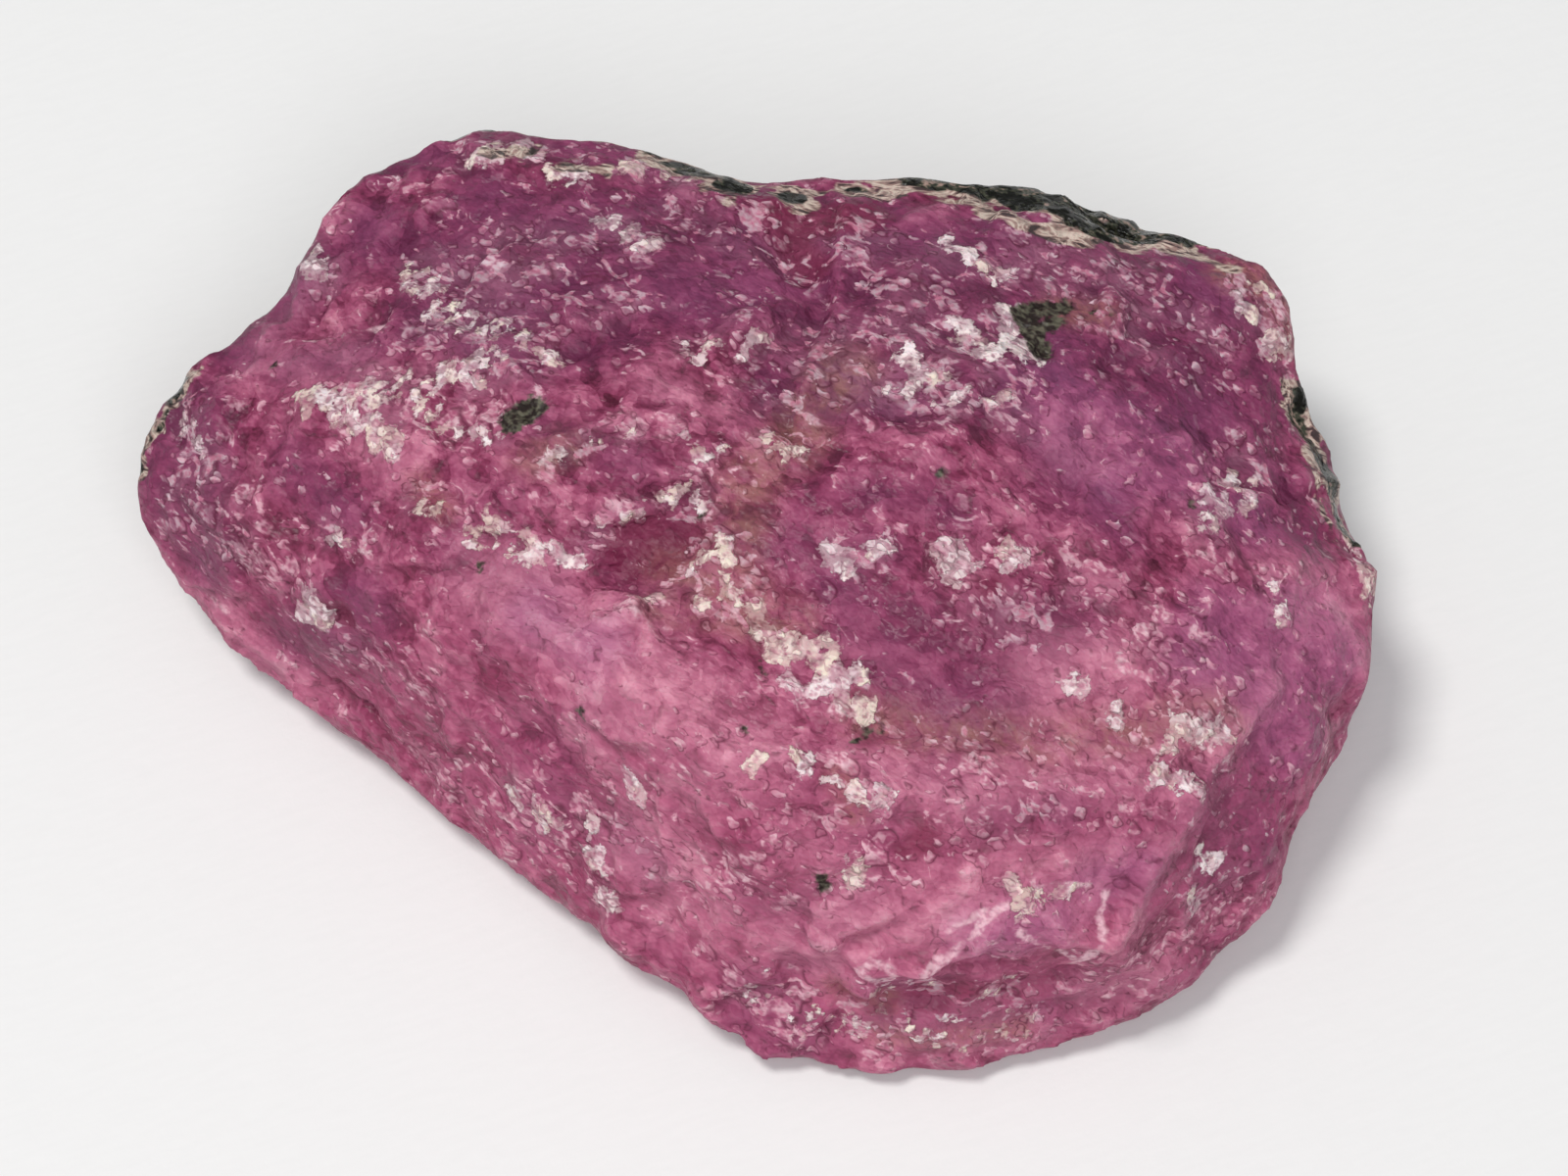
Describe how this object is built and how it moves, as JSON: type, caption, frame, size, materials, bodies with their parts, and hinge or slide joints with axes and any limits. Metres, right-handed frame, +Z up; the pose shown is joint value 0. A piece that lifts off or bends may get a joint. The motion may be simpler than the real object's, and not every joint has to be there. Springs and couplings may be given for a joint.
{
  "type": "raw ruby crystal specimen",
  "caption": "Broken lump of pink-red ruby in the rough, with pale feldspar specks and a dark matrix rind, that lies on its flat underside.",
  "frame": {"origin": "on the surface that the stone rests on, under the middle of its bounding box", "axes": "+Z up from the resting face, +X along the stone's length towards its blunt end, -Y towards the low sloping front"},
  "size_m": [0.0506, 0.0386, 0.0158],
  "materials": {
    "ruby": "uneven broken surface, waxy to matt, with small bright flakes"
  },
  "bodies": {
    "root": {"ruby_crystal": "ruby"}
  },
  "joints": []
}
